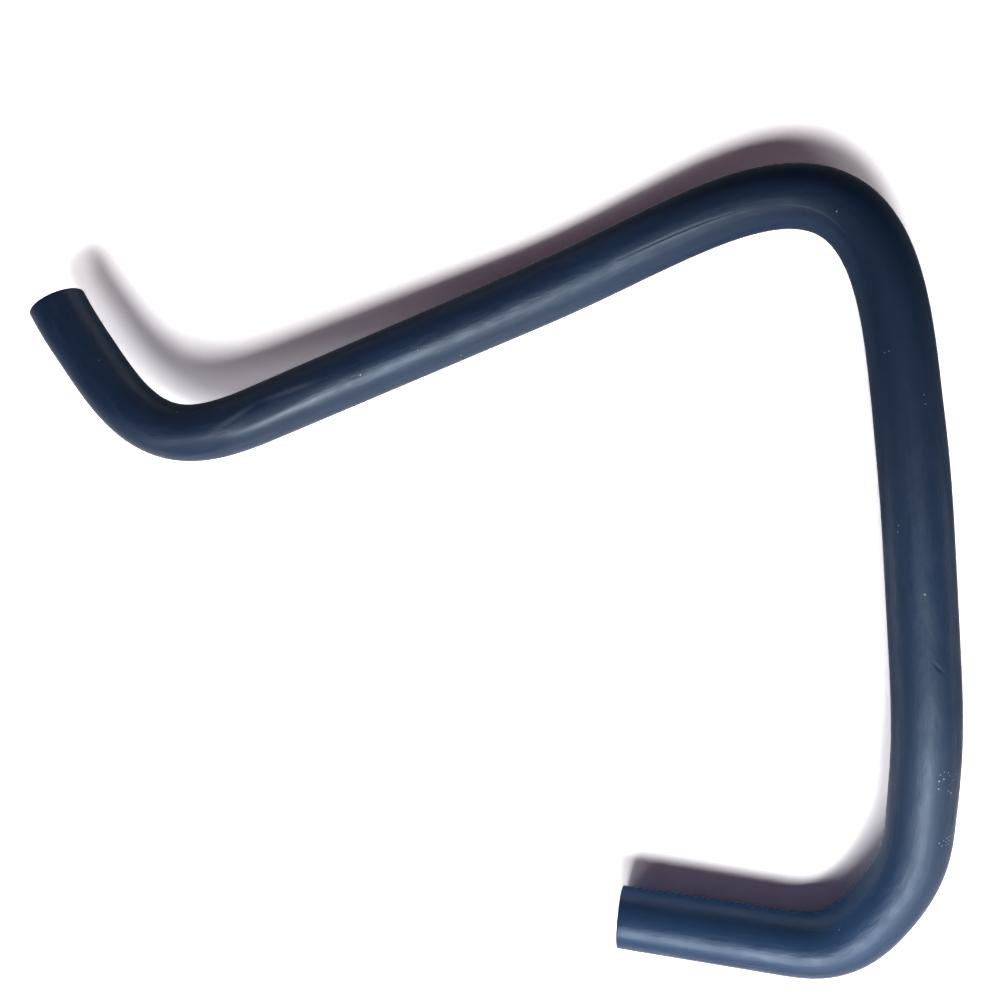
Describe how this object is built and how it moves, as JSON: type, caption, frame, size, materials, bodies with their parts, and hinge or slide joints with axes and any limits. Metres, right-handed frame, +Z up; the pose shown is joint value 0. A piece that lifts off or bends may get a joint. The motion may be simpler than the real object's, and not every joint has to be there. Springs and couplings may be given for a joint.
{
  "type": "crankcase ventilation hose",
  "caption": "Formed rubber breather tube with round section, two tight bends, one wide bend and two plain open ends.",
  "frame": {"origin": "middle of the hose's box in plan, at the height of the table that it lies on", "axes": "+X along the hose's longest extent, from the stub's side to the side leg; +Y towards the long leg and away from the lower leg; +Z up from the table"},
  "size_m": [0.3804, 0.312, 0.0439],
  "materials": {
    "rubber": "satin dark navy moulded rubber"
  },
  "bodies": {
    "root": {"breather_hose": "rubber"}
  },
  "joints": []
}
